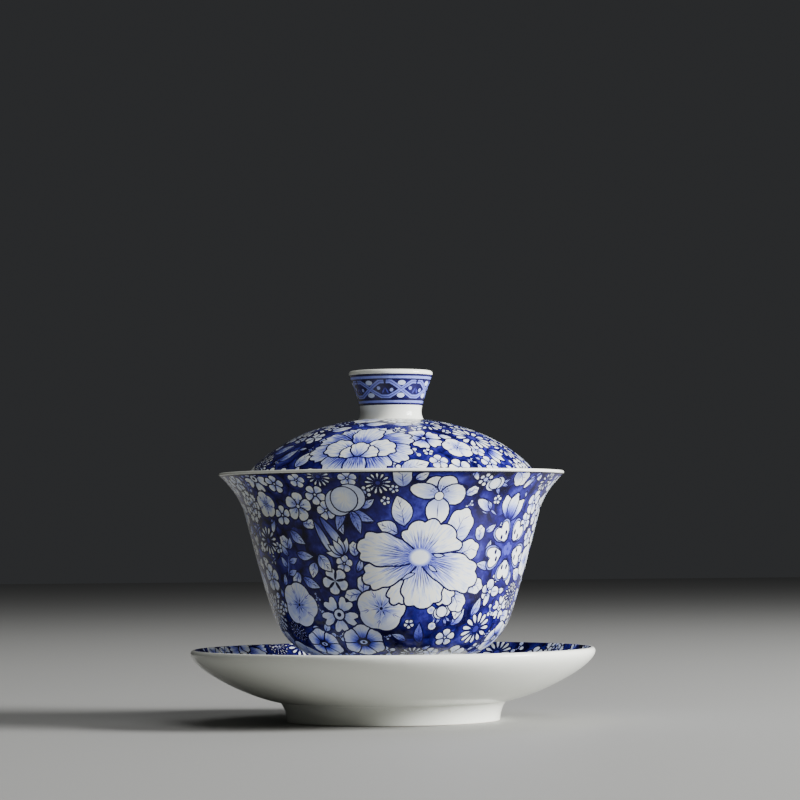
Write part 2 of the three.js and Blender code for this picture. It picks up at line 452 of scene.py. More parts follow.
def fruit(size, turn=0.0):
    # three plump lobes over their leaves, the nearest in the middle
    shapes = []
    for lean, length, bend, aim, low in ((118, 1.5, 0.1, 160, 0.6), (160, 1.5, -0.1, 160, 0.6),
                                           (205, 1.4, 0.1, 180, 0.5)):
        heart = way(turn + aim) * size * low
        shapes += leaf(turn + lean, size * length, size * 0.6, bend, 0.5, 0.25, heart)
    for x, y, wide in ((-0.3, -0.16, 0.82), (0.34, 0.1, 0.84), (-0.02, 0, 0.78)):
        spot = (x * size, y * size)
        shapes.append(shape(discLine(size * wide, *spot, 20), 200, size * 1.1, 0.0, 0.1, 0.2, 0.36, spot))
    return shapes


def berries(size, turn=0.0):
    shapes = []
    for lean, reach in ((turn - 35, 0.75), (turn + 30, 0.55), (turn + 180, 0.6)):
        spot = way(lean) * size * reach
        shapes.append(stroke((0, 0), spot, 0.34, 0.2))
        shapes.append(shape(discLine(size * 0.36, *spot), lean, size * 0.4, 0.3, 0.02, 0, 0.24, spot))
    return shapes


def sprig(size, turn=0.0, leaves=5, tone=0.42):
    shapes = [stroke(way(turn + 180) * size, way(turn) * size * 0.4, 0.5, 0.3)]
    for k in range(leaves):
        side = -1 if k % 2 else 1
        heart = way(turn + 180) * size * (0.9 - 0.42 * k)
        lean = turn if k == leaves - 1 else turn + side * 52
        shapes += leaf(lean, size * 0.98, size * 0.5, side * 0.1, tone, tone * 0.35, heart, 0.24)[:2]
    return shapes


def tulip(size, turn=0.0):
    base = way(turn + 180) * size * 0.8
    shapes = []
    for lean in (-12, 12):
        shapes.append(petal(turn + lean, 0, size * 1.35, size * 0.6, 0.1, 5, 0.2, 0.4, heart=base))
    for lean, width in ((-34, 0.8), (34, 0.8), (0, 0.86)):
        shapes.append(petal(turn + lean, 0, size * 1.5, size * width, 0.0, 5, 0.12, 0.75, heart=base))
    return shapes


def bud(size, turn=0.0):
    base = way(turn + 180) * size * 0.9
    return [
        stroke(base * 1.7, base * 0.6, 0.5, 0.3),
        *leaf(turn - 24, size * 1.2, size * 0.6, -0.1, 0.5, 0.2, base),
        petal(turn, 0, size * 1.8, size * 0.95, -0.1, root=0.55, heart=base),
        *leaf(turn + 26, size, size * 0.5, 0.1, 0.5, 0.2, base),
    ]


def lily(size, turn=0.0):
    # a long trumpet bud on its stem, with a three-pointed mouth
    base, mouth = way(turn + 180) * size, way(turn) * size * 0.3
    shapes = [stroke(mouth, way(turn) * size * 1.5, 0.7, 0.2)]
    for lean, length, width, root, aside in ((6, 1.6, 0.42, 0.5, 0.22), (-4, 1.7, 0.46, 0.6, -0.12)):
        shapes.append(petal(turn + lean, 0, size * length, size * width, 0.2, root=root, tip=0.1, streak=0.8,
                            heart=base + way(turn + 90) * size * aside))
    foot = way(turn) * size * 0.95
    for lean in (-48, 48, -22, 22, 0):
        line = leafLine(turn + 180 + lean, size * 0.86, size * 0.36, 0, 9, foot)
        shapes.append(shape(line, turn + 180 + lean, size * 0.9, 0.34, 0.02, 0.5, 0.34, foot))
    return shapes


def dogwood(size, turn=0.0):
    # side petals and a paired top about a pale boss, with one heart-shaped petal that hangs in front
    drop = way(turn + 180) * size * 0.1
    shapes = [petal(turn - 27, 0, size * 0.9, size * 0.76, 0.3, 5, 0.06, 0.4),
              petal(turn + 27, 0, size * 0.92, size * 0.8, 0.3, 5, 0.06, 0.4),
              petal(turn - 74, 0, size * 1.2, size * 0.72, -0.05, root=0.3),
              petal(turn + 88, 0, size * 1.06, size * 0.94, 0.1, root=0.3)]
    shapes += stamens(size, turn - 75, 9, 0.2, 0.34, 150)
    shapes.append(petal(turn + 180, 0, size * 1.08, size * 0.98, -0.1, root=0.2, streak=0.2, heart=drop))
    shapes.append(stroke(drop * 2.5, drop + way(turn + 180) * size * 1.05, 0.3, 0.7))
    shapes.append(boss(size * 0.2, 0.02, 0.28, 10, drop * 0.6))
    return shapes


def mallow(size, turn=0.0):
    shapes = [fan(turn + 72 * k, size, 40, 3, 0.6, 0.14) for k in range(5)]
    return shapes + stamens(size, turn, 9, 0.1, 0.26) + [boss(size * 0.12, 0, 0.2)]


def broadPetal(turn, length, width, root, lobes=9, heart=(0, 0), ink=0.48, tip=0.02):
    # nearly as broad at its end as in its middle, with a shallow scallop round the end
    line = petalLine(turn, 0, length, width, 0.3, lobes, 0.13, 56, heart, 0.8)
    return shape(line, turn, length, root, tip, 1.4, ink, heart)


def hatch(heart, turn, spread, near, far, count, width):
    # fine strokes that follow a petal from its root outwards
    shapes = []
    for k in range(count):
        lean = way(turn + spread * (2 * (k + 0.5) / count - 1))
        reach = far * (0.86 + 0.14 * (k % 3) / 2)
        shapes.append(stroke(heart + lean * near, heart + lean * reach, width, 0.64))
    return shapes


def hibiscus(size, turn=0.0):
    # the great open bloom: broad lobed petals about a soft pale boss, with curled edges between them
    shapes = [broadPetal(turn + lean, size * length, size * width, root) for lean, length, width, root in (
        (-152, 0.86, 0.38, 0.3), (146, 0.93, 0.42, 0.3), (173, 0.84, 0.66, 0.42), (-113, 0.95, 0.5, 0.5),
        (-78, 1.01, 0.54, 0.5), (112, 1.07, 0.6, 0.55))]
    shapes.append(fan(turn + 18, size * 0.65, 64, 5, 0.45, 0.1, 0.2, 0.48, 1.4))
    for lean, near, aim, length in ((78, 0.2, 94, 0.22), (-168, 0.26, -118, 0.27), (132, 0.18, 127, 0.21)):
        heart = way(turn + lean) * size * near
        curl = leafLine(turn + aim, size * length, size * 0.085, 0.12, 9, heart)
        shapes.append(shape(curl, root=0.25, tip=0.2, streak=0, ink=0.3))
    for lean, spread, far, count in ((-78, 12, 0.74, 5), (-113, 12, 0.68, 5), (112, 12, 0.74, 5),
                                     (173, 18, 0.6, 6), (14, 36, 0.46, 8)):
        shapes += hatch(np.zeros(2), turn + lean, spread, size * 0.22, size * far, count, 0.24)
    for reach, tone in ((0.19, 0.36), (0.17, 0.24), (0.152, 0.13), (0.134, 0.04)):
        shapes.append(dab(size * reach, tone, steps=16, squash=0.8))
    return shapes


def peony(size, turn=0.0):
    # broad outer petals all round, and a cup of scalloped ones that opens upwards
    petals = (      # turn, reach, half spread, how far its strokes go
        (-30, 0.88, 26, 0.7), (26, 0.92, 28, 0.72), (-62, 1.0, 22, 0.8), (62, 1.1, 22, 0.86),
        (-97, 1.1, 22, 0.84), (98, 1.12, 24, 0.86), (-138, 0.98, 26, 0.78), (140, 1.0, 26, 0.8),
        (-179, 0.84, 26, 0.68))
    large = size > brushSet["hatchFrom"]
    shapes = []
    for lean, reach, spread, _ in petals:
        shapes.append(fan(turn + lean, size * reach, spread, 4, 0.85, 0.07, 0, 0.48, 1.6))
        shapes[-1]["reach"] *= 1.45      # the blue goes on past the cup
    if large:
        for lean, _, _, far in petals:
            shapes += hatch(np.zeros(2), turn + lean, 18, size * 0.5, size * (far + 0.08), 8, 0.3)
    back, cup, low = (way(turn) * size * y for y in (-0.14, -0.34, -0.4))
    shapes.append(broadPetal(turn + 6, size * 0.94, size * 0.62, 0.75, 9, back, 0.46, 0.06))
    for lean in (-56, 56):
        shapes.append(broadPetal(turn + lean, size * 0.84, size * 0.6, 0.6, 9, cup, 0.48, 0.04))
        if large:
            shapes += hatch(cup, turn + lean, 22, size * 0.3, size * 0.64, 6, 0.22)
    for lean, length, heart in ((-64, 0.42, cup), (64, 0.46, cup), (0, 0.52, low)):
        shapes.append(broadPetal(turn + lean, size * length, size * 0.4, 0.55, 7, heart, 0.46))
    return shapes


def frillLeaf(size, turn=0.0):
    heart = way(turn + 180) * size
    line = petalLine(turn, 0, size * 2, size * 1.5, 0.05, 6, 0.14, 42, heart)
    shapes = [shape(line, turn, size * 2, 0.3, 0.02, 0.6, 0.4, heart, "leaf"),
              stroke(heart, way(turn) * size * 0.7, 0.34, 0.6)]
    for k, lean in enumerate((-42, 40, -38, 36)):
        joint = heart + way(turn) * size * (0.5 + 0.28 * k)
        shapes.append(stroke(joint, joint + way(turn + lean) * size * 0.55, 0.24, 0.5))
    return shapes


def lattice(size):
    # one crossing of the two waved bands round the knob, as wide as it is from crossing to crossing
    half, rise, band = size / 2, size * 0.25, size * 0.14
    t = np.linspace(0, 1, 9)
    wave = rise * np.clip(t * 1.35, 0, 1) ** 0.9
    shapes = []
    for side in (-1, 1):
        for flip in (-1, 1):
            edge = np.stack([side * half * t, flip * wave], axis=1)
            for share, tone in ((1, 0.34), (0.16, 0.62)):      # a band, and the line along its middle
                thick = np.array([0, band / 2]) * share
                shapes.append(touch(np.vstack([edge + thick, (edge - thick)[::-1]]), tone))
    for y in (-1, 1):
        shapes.append(dab(size * 0.125, 0.12, (0, y * size * 0.2), 10, 0.62))
    for x in (-1, 1):
        shapes.append(dab(size * 0.06, 0.25, (x * size * 0.3, size * 0.03 * x), 7))
        shapes.append(stroke((x * size * 0.38, -rise * 0.6), (x * size * 0.5, rise * 0.2), 0.4, 0.5))
    return shapes


motifKinds = {
    "primrose": primrose, "pansy": pansy, "star": starFlower, "petunia": petunia, "fruit": fruit,
    "berries": berries, "sprig": sprig, "tulip": tulip, "bud": bud, "lily": lily, "dogwood": dogwood,
    "mallow": mallow, "hibiscus": hibiscus, "peony": peony, "frillLeaf": frillLeaf,
    "paleSprig": lambda size, turn: sprig(size, turn, 3, 0.15),
    "leaf": lambda size, turn: leaf(turn, size * 2, size * 0.95, 0.12, 0.5, 0.12, way(turn + 180) * size),
    "paleLeaf": lambda size, turn: leaf(turn, size * 2, size * 1.3, 0.08, 0.3, 0.02, way(turn + 180) * size),
    "darkLeaf": lambda size, turn: leaf(turn, size * 2, size * 0.8, -0.12, 0.75, 0.4, way(turn + 180) * size),
    "lattice": lambda size, turn: lattice(size),
    "halo": lambda size, turn: [halo(size)],
}


def motif(kind, size, turn=0.0):
    return motifKinds[kind](size, turn) if kind in motifKinds else flower(kind, size, turn)


# surfaces that the brushwork is laid on

skinSet = {
    "cell": 0.8,            # no spare point is set in a cell this wide that an outline passes through
    "margin": 0.3,          # how far outlines stay from a wall's two ends
    "discMargin": 0.32, "discStep": 0.04, "discRings": 8,
}


class Around:
    # a steep wall, unrolled: across is the angle from the front, up is the length of the outline
    def __init__(self, line):
        self.line = line
        self.ref = float(line.r.mean())
        self.wrap = 2 * math.pi * self.ref

    def lay(self, spot, local):
        v = spot[1] + local[:, 1]
        return np.stack([(math.radians(spot[0]) + local[:, 0] / self.line.at(v)[0]) * self.ref, v], axis=1)

    def read(self, spot, flat):
        gap = flat[:, 0] / self.ref - math.radians(spot[0])
        gap = gap - np.round(gap / (2 * math.pi)) * 2 * math.pi
        return np.stack([gap * self.line.at(flat[:, 1])[0], flat[:, 1] - spot[1]], axis=1)

    def clamp(self, flat, low, high):
        return np.stack([flat[:, 0], np.clip(flat[:, 1], low, high)], axis=1)

    def height(self, flat):
        return flat[:, 1]

    def space(self, flat):
        r, z = self.line.at(flat[:, 1])
        angle = flat[:, 0] / self.ref
        return np.stack([r * np.sin(angle), -r * np.cos(angle), z], axis=1)

    def ring(self, v, count):
        angle = np.linspace(-math.pi, math.pi, count + 1)
        return np.stack([angle * self.ref, np.full(count + 1, v)], axis=1)


class Across:
    # a dome or a dish, seen from above and spread flat: outward is the length of the outline
    wrap = 0

    def __init__(self, line):
        self.line = line

    def axes(self, spot):
        angle = math.radians(spot[0])
        out = np.array([math.sin(angle), -math.cos(angle)])
        return out * spot[1], np.array([-out[1], out[0]]), -out

    def spread(self, spot):
        return spot[1] / float(self.line.at(spot[1])[0])

    def lay(self, spot, local):
        middle, right, up = self.axes(spot)
        return middle + local[:, :1] * self.spread(spot) * right + local[:, 1:] * up

    def read(self, spot, flat):
        middle, right, up = self.axes(spot)
        return np.stack([(flat - middle) @ right / self.spread(spot), (flat - middle) @ up], axis=1)

    def clamp(self, flat, low, high):
        v = self.height(flat)
        return flat * (np.clip(v, low, high) / np.maximum(v, 1e-6))[:, None]

    def height(self, flat):
        return np.hypot(flat[:, 0], flat[:, 1])

    def space(self, flat):
        v = self.height(flat)
        r, z = self.line.at(v)
        return np.hstack([flat * (r / np.maximum(v, 1e-6))[:, None], z[:, None]])

    def ring(self, v, count):
        angle = np.linspace(-math.pi, math.pi, count + 1)
        return v * np.stack([np.sin(angle), -np.cos(angle)], axis=1)


def insetLine(line, width):
    # the same outline drawn in by a brush's width
    before, after = np.roll(line, 1, axis=0), np.roll(line, -1, axis=0)
    a, b = line - before, after - line
    a /= np.maximum(np.hypot(a[:, 0], a[:, 1]), 1e-9)[:, None]
    b /= np.maximum(np.hypot(b[:, 0], b[:, 1]), 1e-9)[:, None]
    turnIn = np.sign(np.sum(line[:, 0] * after[:, 1] - after[:, 0] * line[:, 1]))
    side = np.stack([-(a + b)[:, 1], (a + b)[:, 0]], axis=1)
    size = np.maximum(np.hypot(side[:, 0], side[:, 1]), 0.7)
    return line + turnIn * side / size[:, None] ** 2 * 2 * width * np.minimum(size[:, None], 1.4) / 1.4


def within(points, line):
    a, b = line, np.roll(line, -1, axis=0)
    x, y = points[:, 0][:, None], points[:, 1][:, None]
    crosses = (a[:, 1] > y) != (b[:, 1] > y)
    run = np.where(b[:, 1] == a[:, 1], 1, b[:, 1] - a[:, 1])
    return (crosses & (x < a[:, 0] + (y - a[:, 1]) * (b[:, 0] - a[:, 0]) / run)).sum(axis=1) % 2 == 1


def topmost(points, lines):
    # the number of the highest outline over each point, or -1
    order = np.argsort(points[:, 0])
    xs = points[order, 0]
    top = np.full(len(points), -1)
    for number, line in lines:
        low, high = line.min(axis=0), line.max(axis=0)
        near = order[np.searchsorted(xs, low[0]):np.searchsorted(xs, high[0])]
        near = near[(points[near, 1] >= low[1]) & (points[near, 1] <= high[1])]
        if len(near):
            top[near[within(points[near], line)]] = number
    return top


def layShapes(face, motifs, low, high):
    # every outline on the flat surface, numbered from the lowest: even for its ink, odd for its colour
    laid, outers, every = [], [], []
    for kind, spot, size, turn in motifs:
        for each in motif(kind, size, turn):
            number = 2 * len(laid)
            laid.append((each, spot))
            lines = [each["line"]] + ([insetLine(each["line"], each["ink"])] if each["ink"] else [])
            for level, line in enumerate(lines):
                margin = skinSet["margin"]
                if not face.wrap:
                    # each outline stops at a ring of its own, so that no two run along one circle
                    ring = (number + level) % skinSet["discRings"]
                    margin = skinSet["discMargin"] + skinSet["discStep"] * ring
                flat = face.clamp(face.lay(spot, line), low + margin, high - margin)
                shifts = [0]
                if face.wrap:
                    shifts += [face.wrap] if flat[:, 0].min() < -face.wrap / 2 else []
                    shifts += [-face.wrap] if flat[:, 0].max() > face.wrap / 2 else []
                for shift in shifts:
                    every.append((number + level, flat + [shift, 0]))
                    if level == 0:
                        outers.append(every[-1])
    return laid, outers, every


def shownEdges(outers, every):
    # the points and edges of each outline that no later shape covers
    points, edges = [], []
    cornerTop = topmost(np.vstack([line for _, line in every]), outers)
    middleTop = topmost(np.vstack([(line + np.roll(line, -1, axis=0)) / 2 for _, line in every]), outers)
    start = 0
    for number, line in every:
        span = slice(start, start + len(line))
        start += len(line)
        hidden = (cornerTop[span] > number) & (middleTop[span] > number)
        shown = ~(hidden & (np.roll(cornerTop[span], -1) > number))
        used = np.flatnonzero(shown | np.roll(shown, 1))
        index = {i: len(points) + k for k, i in enumerate(used)}
        points.extend(map(tuple, line[used]))
        edges.extend((index[i], index[(i + 1) % len(line)]) for i in np.flatnonzero(shown))
    return points, edges


def gridPoints(face, points, edges, borders, segments):
    # rings of points between the outlines, and whole rings of edges at the borders
    rows = face.line.knots
    busy = set(map(tuple, np.floor(np.array(points).reshape(-1, 2) / skinSet["cell"]).astype(int)))
    for v in sorted({*rows, *borders}):
        ring = face.ring(v, segments)
        loop = ring if face.wrap else ring[:-1]
        if v in borders:
            first, last = len(points), len(points) + len(loop) - 1
            points.extend(map(tuple, loop))
            edges.extend((i, i + 1) for i in range(first, last))
            if not face.wrap:
                edges.append((last, first))
            continue
        inside = ring[1:-1] if face.wrap else loop
        cells = np.floor(inside / skinSet["cell"]).astype(int)
        points.extend(tuple(p) for p, c in zip(inside, cells) if tuple(c) not in busy)
        if face.wrap:
            points.extend((tuple(ring[0]), tuple(ring[-1])))
    if face.wrap:
        for side in (-1, 1):
            first = len(points)
            points.extend(((side * face.wrap / 2, rows[0]), (side * face.wrap / 2, rows[-1])))
            edges.append((first, first + 1))


def cutSkin(face, points, edges):
    # triangles along every edge, without those past the two ends of the surface
    low, high = face.line.knots[0], face.line.knots[-1]
    made = delaunay_2d_cdt([Vector(p) for p in points], edges, [], 0, tiny, False)
    flat = np.array([tuple(v) for v in made[0]])
    faces = np.array([f for f in made[2] if len(f) == 3])
    if face.wrap:
        middle = flat[faces].mean(axis=1)
        up = face.height(middle)
        keep = (up > low) & (up < high) & (np.abs(middle[:, 0]) < face.wrap / 2)
    else:
        furthest = face.height(flat)[faces].max(axis=1)
        keep = (furthest > low + tiny) & (furthest < high + tiny)
    used, faces = np.unique(faces[keep], return_inverse=True)
    return flat[used], faces.reshape(-1, 3)


def brushOver(each, local):
    # tone, streak and stroke direction of points that are read about the heart of one shape
    along, across = local @ way(each["turn"]), local @ way(each["turn"] + 90)
    far = np.hypot(along, across)
    fades = brushSet["haloFade"] if each["grain"] == "wash" else (brushSet["petalFade"], 0)
    share = np.clip(far / each["reach"] * fades[0] + fades[1], 0, 1)
    fade = 1 - share * share * (3 - 2 * share)
    tone = each["tip"] + (each["root"] - each["tip"]) * fade
    streak = each["streak"] * (0.3 + 0.7 * fade)
    if each["grain"] == "petal":       # strokes fan out from the heart
        turned = np.arctan2(across, np.maximum(along, 0.05)) * each["reach"] * 0.6
        return tone, streak, turned, far * 0.1
    return tone, streak, along - np.abs(across) * 0.8, across * 0.15      # strokes lean like a leaf's veins


def paintCorners(face, laid, top, zones, flat, faces):
    # how every corner of every triangle is painted: the ground by its zone, the rest by the topmost shape
    up = face.height(flat[faces].mean(axis=1))
    tones, washes = np.zeros(len(faces)), np.zeros(len(faces))
    bare = np.ones(len(faces), bool)
    for start, end, zoneTone, zoneWash, painted in zones:
        there = (up > start) & (up < end)
        tones[there], washes[there] = zoneTone, zoneWash
        bare[there] = not painted
    owner = np.repeat(np.where(bare, -2, top), 3)
    corner = flat[faces.reshape(-1)]
    tone, wash = np.repeat(tones, 3), np.repeat(washes, 3)
    streak, brush = np.zeros(len(corner)), np.zeros((len(corner), 2))
    order = np.argsort(owner, kind="stable")
    cuts = np.searchsorted(owner[order], np.arange(2 * len(laid) + 1))
    for number in range(2 * len(laid)):
        mine = order[cuts[number]:cuts[number + 1]]
        each, spot = laid[number // 2]
        if not len(mine):
            continue
        wash[mine] = brushSet["groundWash"] if each["grain"] == "wash" else brushSet["petalWash"]
        if number % 2 == 0 and each["ink"]:
            tone[mine] = brushSet["inkTone"]
            continue
        tone[mine], streak[mine], x, y = brushOver(each, face.read(spot, corner[mine]) - each["heart"])
        brush[mine] = np.stack([x + number, y], axis=1)
    return tone, streak, wash, brush


def paintSkin(name, face, motifs, segments, zones):
    # triangulates a surface along every line of its brushwork, and notes how each part is painted
    low, high = face.line.knots[0], face.line.knots[-1]
    laid, outers, every = layShapes(face, motifs, low, high)
    points, edges = shownEdges(outers, every)
    borders = {low, high, *(v for zone in zones for v in zone[:2] if low < v < high)}
    gridPoints(face, points, edges, borders, segments)
    flat, faces = cutSkin(face, points, edges)
    top = topmost(flat[faces].mean(axis=1), every)
    tone, streak, wash, brush = paintCorners(face, laid, top, zones, flat, faces)
    mesh = bpy.data.meshes.new(name)
    mesh.from_pydata((face.space(flat) * mm).tolist(), [], faces.tolist())
    for title, values in (("tone", tone), ("streak", streak), ("wash", wash)):
        mesh.attributes.new(title, "FLOAT", "CORNER").data.foreach_set("value", values.astype(np.float32))
    mesh.uv_layers.new(name="brush").data.foreach_set("uv", brush.astype(np.float32).reshape(-1))
    skin = bpy.data.objects.new(name, mesh)
    bpy.context.scene.collection.objects.link(skin)
    print(name, "skin has", len(faces), "faces from", len(laid), "shapes")
    return skin


def scatterMotifs(face, placed, sorts, low, high, seed):
    # fills what is left of a surface, the large motifs first, over pale washes about every flower
    def middleOf(spot):
        return face.space(face.lay(spot, np.zeros((1, 2))))[0]

    draw = random.Random(seed)
    spots = [middleOf(spot) for _, spot, _, _ in placed]
    sizes = [size for _, _, size, _ in placed]
    found = []
    for kinds, smallest, largest, tries, gap in sorts:
        for _ in range(tries):
            angle, v = draw.uniform(-180, 180), draw.uniform(low, high)
            kind, turn = draw.choice(kinds), draw.uniform(0, 360)
            size = draw.uniform(smallest, largest)
            if draw.random() > face.line.at(v)[0] / face.line.r.max():
                continue
            middle = middleOf((angle, v))
            apart = np.linalg.norm(np.array(spots).reshape(-1, 3) - middle, axis=1)
            if np.all(apart > gap * (size + np.array(sizes))):
                spots.append(middle)
                sizes.append(size)
                found.append((kind, (angle, v), size, turn))
    large = [(spot, size) for _, spot, size, _ in found + placed if size > brushSet["haloFrom"]]
    return [("halo", spot, size, 0) for spot, size in large] + found[::-1] + placed


# turned pieces

def drawOutline(name, line):
    # one vertex, extruded from point to point in the plane that faces the front
    bpy.ops.object.select_all(action="DESELECT")
    bpy.ops.mesh.primitive_plane_add(size=mm, location=(line[0][0] * mm, 0, line[0][1] * mm))
    piece = bpy.context.object
    piece.name = name
    bpy.ops.object.mode_set(mode="EDIT")
    bpy.ops.mesh.select_all(action="SELECT")
    bpy.ops.mesh.merge(type="CENTER")
    for step in np.diff(line, axis=0) * mm:
        bpy.ops.mesh.extrude_region_move(TRANSFORM_OT_translate={"value": (step[0], 0, step[1])})
    bpy.ops.object.mode_set(mode="OBJECT")
    bpy.ops.object.transform_apply(location=True, rotation=True, scale=True)
    return piece


def turnPiece(name, line, segments):
    piece = drawOutline(name, line)
    bpy.ops.object.mode_set(mode="EDIT")
    bpy.ops.mesh.select_all(action="SELECT")
    bpy.ops.mesh.spin(steps=segments, angle=2 * math.pi, center=(0, 0, 0), axis=(0, 0, 1))
    bpy.ops.object.mode_set(mode="OBJECT")
    return piece


turnSet = {
    "weld": 0.004,       # millimetres
    "spacing": 0.05,     # of the readings along an outline that the shading follows
}


def shadeByOutline(piece, at, outline):
    # every point faces the way its nearest place on the turned outline does
    step = np.hypot(*np.diff(outline, axis=0).T)
    reach = np.r_[0, np.cumsum(step)]
    fine = np.arange(0, reach[-1], turnSet["spacing"])
    dense = np.stack([np.interp(fine, reach, outline[:, i]) for i in (0, 1)], axis=1)
    facing = outwards(dense)
    tree = KDTree(len(dense))
    for i, (r, z) in enumerate(dense):
        tree.insert((r, z, 0), i)
    tree.balance()
    radius = np.hypot(at[:, 0], at[:, 1])
    nearest = np.array([tree.find((r, z, 0))[1] for r, z in zip(radius, at[:, 2])])
    flat = np.where(radius[:, None] > tiny, at[:, :2] / np.maximum(radius, tiny)[:, None], 0)
    normals = np.hstack([flat * facing[nearest][:, :1], facing[nearest][:, 1:]])
    normals /= np.linalg.norm(normals, axis=1)[:, None]
    piece.data.normals_split_custom_set_from_vertices(normals.tolist())


def buildPiece(name, paint, segments, face, motifs, zones, walls, outline, bareBelow=-1):
    # joins the painted skin to its plain walls, and leaves the clay bare below a height
    parts = [paintSkin(name, face, motifs, segments, zones)]
    parts += [turnPiece(name + "Wall", wall, segments) for wall in walls]
    bpy.ops.object.select_all(action="DESELECT")
    for part in parts:
        part.select_set(True)
    piece = parts[0]
    bpy.context.view_layer.objects.active = piece
    bpy.ops.object.join()
    piece.name = piece.data.name = name
    bpy.ops.object.mode_set(mode="EDIT")
    bpy.ops.mesh.select_all(action="SELECT")
    bpy.ops.mesh.remove_doubles(threshold=turnSet["weld"] * mm)
    bpy.ops.mesh.normals_make_consistent(inside=False)
    bpy.ops.object.mode_set(mode="OBJECT")
    bpy.ops.object.shade_smooth()
    piece.data.materials.clear()
    piece.data.materials.append(paint)
    at = np.zeros(len(piece.data.vertices) * 3)
    piece.data.vertices.foreach_get("co", at)
    at = at.reshape(-1, 3) / mm
    shadeByOutline(piece, at, outline)
    bare = (at[:, 2] < bareBelow).astype(np.float32)
    piece.data.attributes.new("bare", "FLOAT", "POINT").data.foreach_set("value", bare)
    print(name, "has", len(piece.data.polygons), "faces")
    return piece


# glazes

glazeSet = {
    "ramp": [
        (0.0, (0.83, 0.845, 0.77)),
        (0.03, (0.80, 0.845, 0.865)),
        (0.1, (0.56, 0.63, 0.82)),
        (0.28, (0.23, 0.275, 0.72)),
        (0.48, (0.06, 0.062, 0.42)),
        (0.68, (0.014, 0.009, 0.15)),
        (0.86, (0.003, 0.001, 0.034)),
        (1.0, (0.0015, 0.001, 0.012)),
    ],
    "biscuit": (0.72, 0.69, 0.62),
    "streakScale": 2.4, "streakDepth": 1.6,
    "washScale": 330, "washDepth": 0.7,
    "cloudScale": 70, "cloudDepth": 0.3,
    "noiseRoughness": 0.6,
    "gloss": 0.16, "bareGloss": 0.6, "glossVaries": 0.06, "shine": 0.28,
    "rippleScale": 160, "ripple": 0.04,
}


def glaze(name):
    # blue under a clear glaze, by each corner's tone, broken by streaks, washes and clouds
    paint = bpy.data.materials.new(name)
    paint.use_nodes = True
    nodes, links = paint.node_tree.nodes, paint.node_tree.links
    shader = nodes["Principled BSDF"]

    def node(kind, **values):
        made = nodes.new(kind)
        for key, value in values.items():
            setattr(made, key, value)
        return made

    def attribute(title):
        return node("ShaderNodeAttribute", attribute_name=title).outputs["Fac"]

    def maths(operation, a, b, c=None, clamp=False):
        made = node("ShaderNodeMath", operation=operation, use_clamp=clamp)
        for socket, value in zip(made.inputs, (a, b, c)):
            if isinstance(value, (int, float)):
                socket.default_value = value
            elif value is not None:
                links.new(value, socket)
        return made.outputs["Value"]

    def noise(vector, scale, detail):
        made = node("ShaderNodeTexNoise")
        made.inputs["Scale"].default_value = scale
        made.inputs["Detail"].default_value = detail
        made.inputs["Roughness"].default_value = glazeSet["noiseRoughness"]
        links.new(vector, made.inputs["Vector"])
        return made.outputs["Fac"]

    place = node("ShaderNodeTexCoord").outputs["Object"]
    brush = node("ShaderNodeUVMap", uv_map="brush").outputs["UV"]
    streaks = maths("SUBTRACT", noise(brush, glazeSet["streakScale"], 3), 0.5)
    washes = maths("SUBTRACT", noise(place, glazeSet["washScale"], 4), 0.5)
    clouds = maths("SUBTRACT", noise(place, glazeSet["cloudScale"], 2), 0.5)
    pooled = maths("MULTIPLY", clouds, glazeSet["cloudDepth"])
    pooled = maths("MULTIPLY_ADD", washes, glazeSet["washDepth"], pooled)
    tone = maths("MULTIPLY_ADD", attribute("wash"), pooled, attribute("tone"))
    streaked = maths("MULTIPLY", attribute("streak"), glazeSet["streakDepth"])
    tone = maths("MULTIPLY_ADD", streaks, streaked, tone, True)
    ramp = node("ShaderNodeValToRGB")
    stops = ramp.color_ramp.elements
    while len(stops) < len(glazeSet["ramp"]):
        stops.new(0.5)
    for stop, (at, colour) in zip(stops, glazeSet["ramp"]):
        stop.position = at
        stop.color = (*colour, 1)
    links.new(tone, ramp.inputs["Fac"])
    mix = node("ShaderNodeMix", data_type="RGBA")
    links.new(attribute("bare"), mix.inputs["Factor"])
    links.new(ramp.outputs["Color"], mix.inputs["A"])
    mix.inputs["B"].default_value = (*glazeSet["biscuit"], 1)
    links.new(mix.outputs["Result"], shader.inputs["Base Color"])
    rough = maths("MULTIPLY_ADD", attribute("bare"), glazeSet["bareGloss"], glazeSet["gloss"])
    rough = maths("MULTIPLY_ADD", washes, glazeSet["glossVaries"], rough, True)
    shader.inputs["Specular IOR Level"].default_value = glazeSet["shine"]
    links.new(rough, shader.inputs["Roughness"])
    bump = node("ShaderNodeBump")
    bump.inputs["Strength"].default_value = glazeSet["ripple"]
    bump.inputs["Distance"].default_value = mm
    links.new(noise(place, glazeSet["rippleScale"], 1), bump.inputs["Height"])
    links.new(bump.outputs["Normal"], shader.inputs["Normal"])
    return paint


def boxOf(node):
    # the lowest and highest corners of a node, in millimetres
    low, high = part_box(node)
    return np.array(low) / mm, np.array(high) / mm


# the bowl

